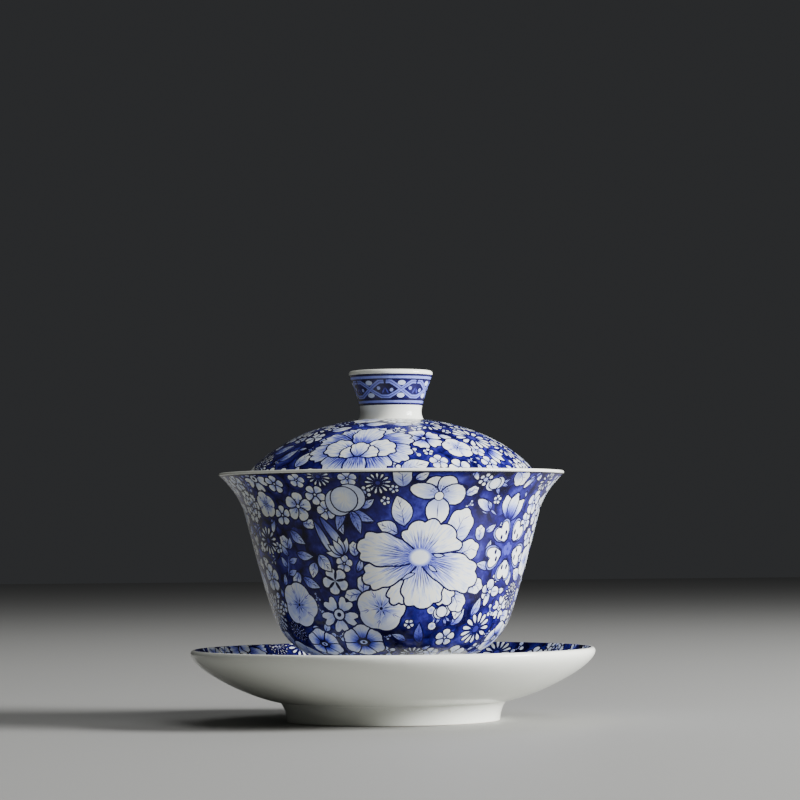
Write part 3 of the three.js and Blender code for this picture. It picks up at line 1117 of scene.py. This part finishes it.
bowlSet = {
    "segments": 160,
    "foot": 20.6, "footTop": 17.9, "footWidth": 1.2, "footLean": 1.4, "hollow": 16.4, "floor": 20.0,
    "belly": (32.6, 29.0), "neck": (40.6, 57.2),
    "bellyLeaves": (5.6, 0.7), "bellyArrives": (2.0, 5.7),
    "wallLeaves": (2.9, 8.4), "wallArrives": (2.3, 8.8),
    "flareLeaves": (1.0, 3.7), "flareArrives": (3.2, 2.9),
    "walls": (2.2, 1.78, 1.45, 0.9),
    "skinAbove": 0.9, "footTurn": 0.6, "bareBelow": 0.25,
    "ground": 0.88,
    "footLines": ((11.4, 11.8), (16.6, 16.9)), "footLine": (0.7, 0.3),
    "lipLine": (0.93, 0.1), "lipWhite": (0.55, 0.06),      # tone and wash; from where to where below the lip
    "seed": 7,
}

bowlPlaces = [
    # kind, degrees right of the front, height, size, turn
    ("leaf", -9.0, 59.2, 2.8, 60), ("leaf", -10.0, 55.4, 2.8, 125), ("leaf", -19.5, 53.4, 2.9, 170),
    ("leaf", 32.1, 28.9, 3.3, 35), ("leaf", -13.5, 43.0, 2.4, 20), ("leaf", 42.0, 52.5, 2.4, 60),
    ("paleLeaf", 3.4, 57.2, 4.7, -14), ("paleLeaf", -1.6, 52.6, 3.4, -62), ("darkLeaf", 13.8, 24.5, 3.8, -8),
    ("leaf", 3.0, 23.6, 2.6, -60), ("leaf", 41.6, 31.5, 3.2, 22), ("star", -25.0, 38.8, 4.2, 10),
    ("leaf", -40.0, 50.5, 3.4, 130), ("leaf", -38.0, 45.8, 3.2, 100), ("paleLeaf", -28.5, 43.5, 3.2, 145),
    ("paleLeaf", -34.5, 41.6, 2.7, 200), ("sprig", -48.0, 44.0, 4.2, 20), ("leaf", -37.0, 38.4, 3.4, 120),
    ("berries", 20.0, 28.5, 3.6, 10), ("fruit", 23.4, 30.4, 2.3, 0), ("blossom", 28.0, 23.4, 3.2, 0),
    ("paleLeaf", 31.5, 30.6, 3.0, 190),
    ("frillLeaf", 27.0, 53.0, 5.3, 24), ("frillLeaf", 31.5, 46.4, 4.2, 68),
    ("frillLeaf", 38.0, 37.2, 3.4, 100), ("frillLeaf", 29.5, 33.6, 4.0, 150),
    ("frillLeaf", 5.2, 36.2, 3.8, 200), ("leaf", 42.3, 47.6, 2.3, 20),
    ("cluster", 33.6, 65.2, 2.4, 0), ("fruit", 38.4, 64.2, 2.7, -60),
    ("bud", 37.0, 58.6, 3.6, -60), ("tulip", 52.5, 58.6, 5.4, 8),
    ("blossom", -14.6, 65.7, 2.9, 0), ("daisy", -4.5, 64.4, 3.8, 0), ("cluster", -9.6, 62.0, 2.2, 0),
    ("blossom", -37.0, 58.6, 4.6, 10), ("blossom", -28.3, 61.6, 3.4, 40), ("blossom", -25.0, 57.4, 3.0, 60),
    ("blossom", -45.9, 56.3, 3.2, 0), ("blossom", -44.0, 64.6, 3.4, 15), ("blossom", -33.5, 65.4, 2.8, 15),
    ("petunia", -54.3, 59.3, 4.3, 0), ("daisy", -59.1, 49.6, 4.3, 0), ("blossom", -64.3, 39.6, 4.3, 0),
    ("aster", 68.2, 34.2, 4.2, 0), ("blossom", 68.2, 59.4, 4.0, 0), ("primrose", 60.0, 31.0, 3.6, 0),
    ("lily", -24.6, 50.4, 6.4, 148), ("primrose", -25.4, 29.8, 5.5, 36),
    ("petunia", -47.5, 32.4, 6.8, 20), ("petunia", -5.0, 31.4, 6.9, 10), ("darkEye", -40.1, 21.8, 5.6, 0),
    ("darkEye", -15.4, 22.4, 6.0, 0), ("daisy", 45.8, 25.5, 5.2, 0), ("pansy", 55.0, 46.8, 8.2, -38),
    ("fruit", -17.2, 60.4, 5.1, 0), ("dogwood", 17.4, 61.3, 7.4, 0), ("hibiscus", 11.5, 44.9, 17.0, 0),
]

bowlScatter = [
    # kinds, smallest and largest size, tries, and the gap as a share of two sizes
    (("peony", "mallow", "petunia", "hibiscus", "dogwood"), 8.5, 12.5, 60, 0.9),
    (("primrose", "darkEye", "petunia", "carnation", "aster", "fruit", "daisy", "pansy"),
     4.8, 6.6, 600, 0.86),
    (("blossom", "daisy", "star", "tulip", "frillLeaf", "primrose", "aster", "dogwood"),
     3.4, 4.6, 2500, 0.82),
    (("sprig", "paleLeaf", "leaf", "blossom", "berries", "bud", "frillLeaf"), 2.2, 3.1, 4000, 0.78),
    (("leaf", "paleLeaf", "berries", "paleSprig", "blossom"), 1.5, 2.1, 2200, 0.76),
]


def makeBowl(paint):
    low, high = boxOf("bowl")
    s = bowlSet
    start, belly, neck = (s["foot"], s["footTop"]), s["belly"], s["neck"]
    lip = endPoint(high[0], high[2], s["walls"][3], s["flareArrives"])
    stretches = [
        curve(start, s["bellyLeaves"], s["bellyArrives"], belly, 14),
        curve(belly, s["wallLeaves"], s["wallArrives"], neck, 22),
        curve(neck, s["flareLeaves"], s["flareArrives"], lip, 12),
    ]
    walls = [inner(line, *s["walls"][i:i + 2]) for i, line in enumerate(stretches)]
    inside = chain(*walls)
    skinStart = (s["foot"], low[2] + s["skinAbove"])
    ring = s["foot"] - s["footWidth"]
    foot = [(ring - s["footLean"], s["hollow"]), (ring, low[2]), (s["foot"], low[2])]
    under = soften(chain([(0, s["hollow"])], foot, [skinStart]), (1, 2, 3))
    wall = soften(chain([skinStart], *stretches), (1,), s["footTurn"])
    over = chain([wall[-1]], roundEnd(wall[-1], inside[-1]), inside[::-1], [(0, s["floor"])])
    line = Line(wall)
    face = Around(line)
    lipStart, lipEnd = (line.v[-1] - below for below in s["lipWhite"])
    ground = (line.atHeight(s["footTop"] + 0.15), lipStart)
    bands = [(line.atHeight(a), line.atHeight(b), *s["footLine"], False) for a, b in s["footLines"]]
    bands.append((lipStart, lipEnd, *s["lipLine"], False))
    placed = [(kind, (angle, line.atHeight(z)), size, turn) for kind, angle, z, size, turn in bowlPlaces]
    motifs = scatterMotifs(face, placed, bowlScatter, ground[0] + 1, ground[1] - 1, s["seed"])
    zones = [(*ground, s["ground"], 1, True), *bands]
    return buildPiece("painted_bowl", paint, s["segments"], face, motifs, zones, (under, over),
                      chain(under, wall, over), low[2] + s["bareBelow"])


# the lid

lidSet = {
    "segments": 160,
    "edge": (41.807, 63.844), "crown": 83.14, "wall": 2.2,
    "leaves": (-1.5, 5.2), "arrives": (-28.0, 0.0),
    "ring": 9.4, "ringInside": 6.5,      # the flat that the knob stands on
    "ground": 0.88, "edgeWhite": 0.5,
    "seed": 11,
}

lidPlaces = [
    # kind, degrees right of the front, distance from the middle, size, turn
    ("paleLeaf", 9.4, 38.6, 4.6, 70), ("paleLeaf", -40.0, 36.4, 3.6, 20), ("leaf", -52.0, 35.0, 3.6, 40),
    ("blossom", 19.8, 37.6, 2.9, 0), ("leaf", -62.0, 32.6, 4.0, 60), ("star", -47.0, 28.0, 3.4, 0),
    ("paleLeaf", -12.0, 18.2, 3.4, 80), ("paleLeaf", -36.0, 22.4, 3.2, 60), ("paleLeaf", 10.0, 18.6, 3.0, 90),
    ("daisy", 66.0, 33.0, 4.6, 0), ("daisy", 50.0, 28.4, 6.0, 0), ("petunia", 32.5, 33.0, 4.8, 0),
    ("daisy", 30.0, 19.6, 4.6, 0), ("blossom", 44.0, 38.0, 3.2, 0), ("leaf", 37.0, 39.4, 2.4, 0),
    ("mallow", 17.5, 29.0, 5.6, 60), ("primrose", 4.6, 24.2, 2.6, 0), ("peony", -14.5, 32.0, 13.2, 0),
]

lidScatter = [
    (("peony", "mallow", "hibiscus", "petunia"), 8.5, 11.5, 50, 0.88),
    (("primrose", "darkEye", "petunia", "carnation", "aster", "daisy"), 4.4, 6.0, 400, 0.86),
    (("blossom", "daisy", "star", "tulip", "frillLeaf", "primrose", "aster"), 3.0, 4.2, 1600, 0.82),
    (("sprig", "paleLeaf", "leaf", "blossom", "berries", "bud"), 2.0, 2.8, 3000, 0.78),
    (("leaf", "paleLeaf", "paleSprig", "blossom"), 1.4, 1.9, 1500, 0.76),
]


def makeLid(paint):
    s = lidSet
    dome = curve(s["edge"], s["leaves"], s["arrives"], (0, s["crown"]), 60)
    inside = inner(dome, s["wall"], s["wall"])
    inside[-1, 0] = 0
    ledge = (s["ring"], s["ringInside"])
    onRing, onCrown = ((r, float(np.interp(-r, -dome[:, 0], dome[:, 1]))) for r in ledge)
    over = chain(dome[dome[:, 0] > s["ring"]], [onRing])
    under = chain(inside[::-1], roundEnd(inside[0], dome[0]), [dome[0]])
    crown = chain([onRing, (s["ringInside"], onRing[1]), onCrown], dome[dome[:, 0] < s["ringInside"] - 0.2])
    line = Line(over[::-1], s["ring"])
    face = Across(line)
    ground = (line.v[0] + 0.1, line.v[-1] - s["edgeWhite"])
    placed = [(kind, (angle, line.atRadius(r)), size, turn) for kind, angle, r, size, turn in lidPlaces]
    motifs = scatterMotifs(face, placed, lidScatter, ground[0] + 1, ground[1] - 1, s["seed"])
    zones = [(*ground, s["ground"], 1, True)]
    return buildPiece("painted_lid", paint, s["segments"], face, motifs, zones, (under, crown),
                      chain(under, over, crown))


# the knob

knobSet = {
    "segments": 96,
    "foot": 9.1, "waist": (8.4, 2.4), "wall": 1.6, "footLeaves": (-0.5, 0.6), "waistArrives": (0.0, 0.8),
    "leaves": (0.0, 1.8), "arrives": (0.7, 2.0), "footInside": 7.28,
    "cells": 7, "firstCell": 17.0, "middle": 90.65,
    "ground": (88.2, 93.1), "tone": (0.8, 0.7), "bandWash": 0.25,
    "bands": [(86.4, 87.0, 0.82), (87.0, 87.6, 0.32), (87.6, 88.2, 0.85), (93.1, 93.5, 0.85),
              (93.5, 94.2, 0.3), (94.2, 94.8, 0.82)],      # from, to, tone
}


def makeKnob(paint):
    low, high = boxOf("lid_knob")
    s = knobSet
    foot, waist = (s["foot"], low[2]), (s["waist"][0], low[2] + s["waist"][1])
    rim = endPoint(high[0], high[2], s["wall"], s["arrives"])
    stretches = [
        curve(foot, s["footLeaves"], s["waistArrives"], waist, 8),
        curve(waist, s["leaves"], s["arrives"], rim, 16),
    ]
    inside = chain(*[inner(line, s["wall"], s["wall"]) for line in stretches])
    inside = chain([(s["footInside"], low[2])], inside[inside[:, 1] > low[2] + 0.2])
    wall = chain(*stretches)
    over = chain([wall[-1]], roundEnd(wall[-1], inside[-1]), inside[::-1], [foot])
    line = Line(wall)
    face = Around(line)
    ground = tuple(line.atHeight(z) for z in s["ground"])
    bands = [(line.atHeight(a), line.atHeight(b), tone, s["bandWash"], False) for a, b, tone in s["bands"]]
    middle = line.atHeight(s["middle"])
    width = 2 * math.pi * float(line.at(middle)[0]) / s["cells"]
    turns = [s["firstCell"] + 360 / s["cells"] * k for k in range(s["cells"])]
    cells = [("lattice", (turn, middle), width, 0) for turn in turns]
    zones = [(*ground, *s["tone"], True), *bands]
    return buildPiece("painted_knob", paint, s["segments"], face, cells, zones, (over,), chain(wall, over))


# the saucer

saucerSet = {
    "segments": 160,
    "foot": 29.2, "footHeight": 5.4, "footWidth": 1.6, "footLean": 1.4, "footFlare": 2.2, "hollow": 5.9,
    "footLeaves": (0.2, 2.6), "footArrives": (1.3, 1.6),
    "wall": 3.2, "rimWall": 2.0, "leaves": (8.4, 1.4), "arrives": (0.5, 4.2),
    "seat": 21.2, "seatHeight": 9.4, "crest": (22.4, 24.0), "crestHeight": 10.6, "trough": 26.04,
    "ground": 0.88, "rimWhite": 0.3, "seatWhite": 1.2,
    "seatLine": (0.5, 0.9, 0.7, 0.3),      # from, to, tone and wash
    "bareBelow": 0.25,
    "seed": 5,
}

saucerScatter = [
    (("peony", "mallow", "hibiscus"), 7.2, 8.8, 60, 0.98),
    (("primrose", "darkEye", "carnation", "aster", "daisy"), 4.2, 5.6, 500, 0.92),
    (("blossom", "daisy", "star", "tulip", "frillLeaf", "aster"), 2.8, 3.8, 2000, 0.88),
    (("sprig", "leaf", "blossom", "berries"), 2.0, 2.8, 3000, 0.84),
]


def makeSaucer(paint):
    low, high = boxOf("saucer")
    s = saucerSet
    start = (s["foot"] + s["footFlare"], s["footHeight"])
    rim = endPoint(high[0], high[2], s["rimWall"], s["arrives"])
    dish = curve(start, s["leaves"], s["arrives"], rim, 40)
    inside = inner(dish, s["wall"], s["rimWall"])
    ring = s["foot"] - s["footWidth"]
    sideEnd = (start[0] - 0.1, start[1] + 0.25)
    side = curve((s["foot"], low[2]), s["footLeaves"], s["footArrives"], sideEnd, 10)
    foot = chain([(0, s["hollow"]), (ring - s["footLean"], s["hollow"]), (ring, low[2])], side, dish)
    foot = soften(foot, (1, 2, 3, 13, 14), 0.4)
    edge = roundEnd(dish[-1], inside[-1], 12)
    under = chain(foot, edge[:6])
    crest = (s["crest"][1], s["crestHeight"])
    top = chain(edge[5:], inside[::-1], [(s["trough"], inside[0][1]), crest])
    top = soften(top, (len(top) - 2,), 0.8)
    seat = [crest, (s["crest"][0], s["crestHeight"]), (s["seat"], s["seatHeight"]), (0, s["seatHeight"])]
    seat = soften(chain(seat), (1, 2), 0.4)
    line = Line(top[::-1], s["crest"][1])
    face = Across(line)
    ground = (line.v[0] + s["seatWhite"], line.v[-1] - s["rimWhite"])
    near, far, tone, wash = s["seatLine"]
    band = (line.v[0] + near, line.v[0] + far, tone, wash, False)
    motifs = scatterMotifs(face, [], saucerScatter, ground[0] + 1, ground[1] - 1, s["seed"])
    zones = [(*ground, s["ground"], 1, True), band]
    return buildPiece("footed_saucer", paint, s["segments"], face, motifs, zones, (under, seat),
                      chain(under, top, seat), low[2] + s["bareBelow"])


paintedPorcelain = glaze("paintedPorcelain")
whitePorcelain = glaze("whitePorcelain")
pieces = [
    (makeSaucer(whitePorcelain), "saucer", "saucer", "white_porcelain"),
    (makeBowl(paintedPorcelain), "bowl", "bowl", "painted_porcelain"),
    (makeLid(paintedPorcelain), "lid", "lid_dome", "painted_porcelain"),
    (makeKnob(paintedPorcelain), "lid", "lid_knob", "painted_porcelain"),
]
for piece, body, node, slot in pieces:
    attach(piece, body)
    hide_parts(node)
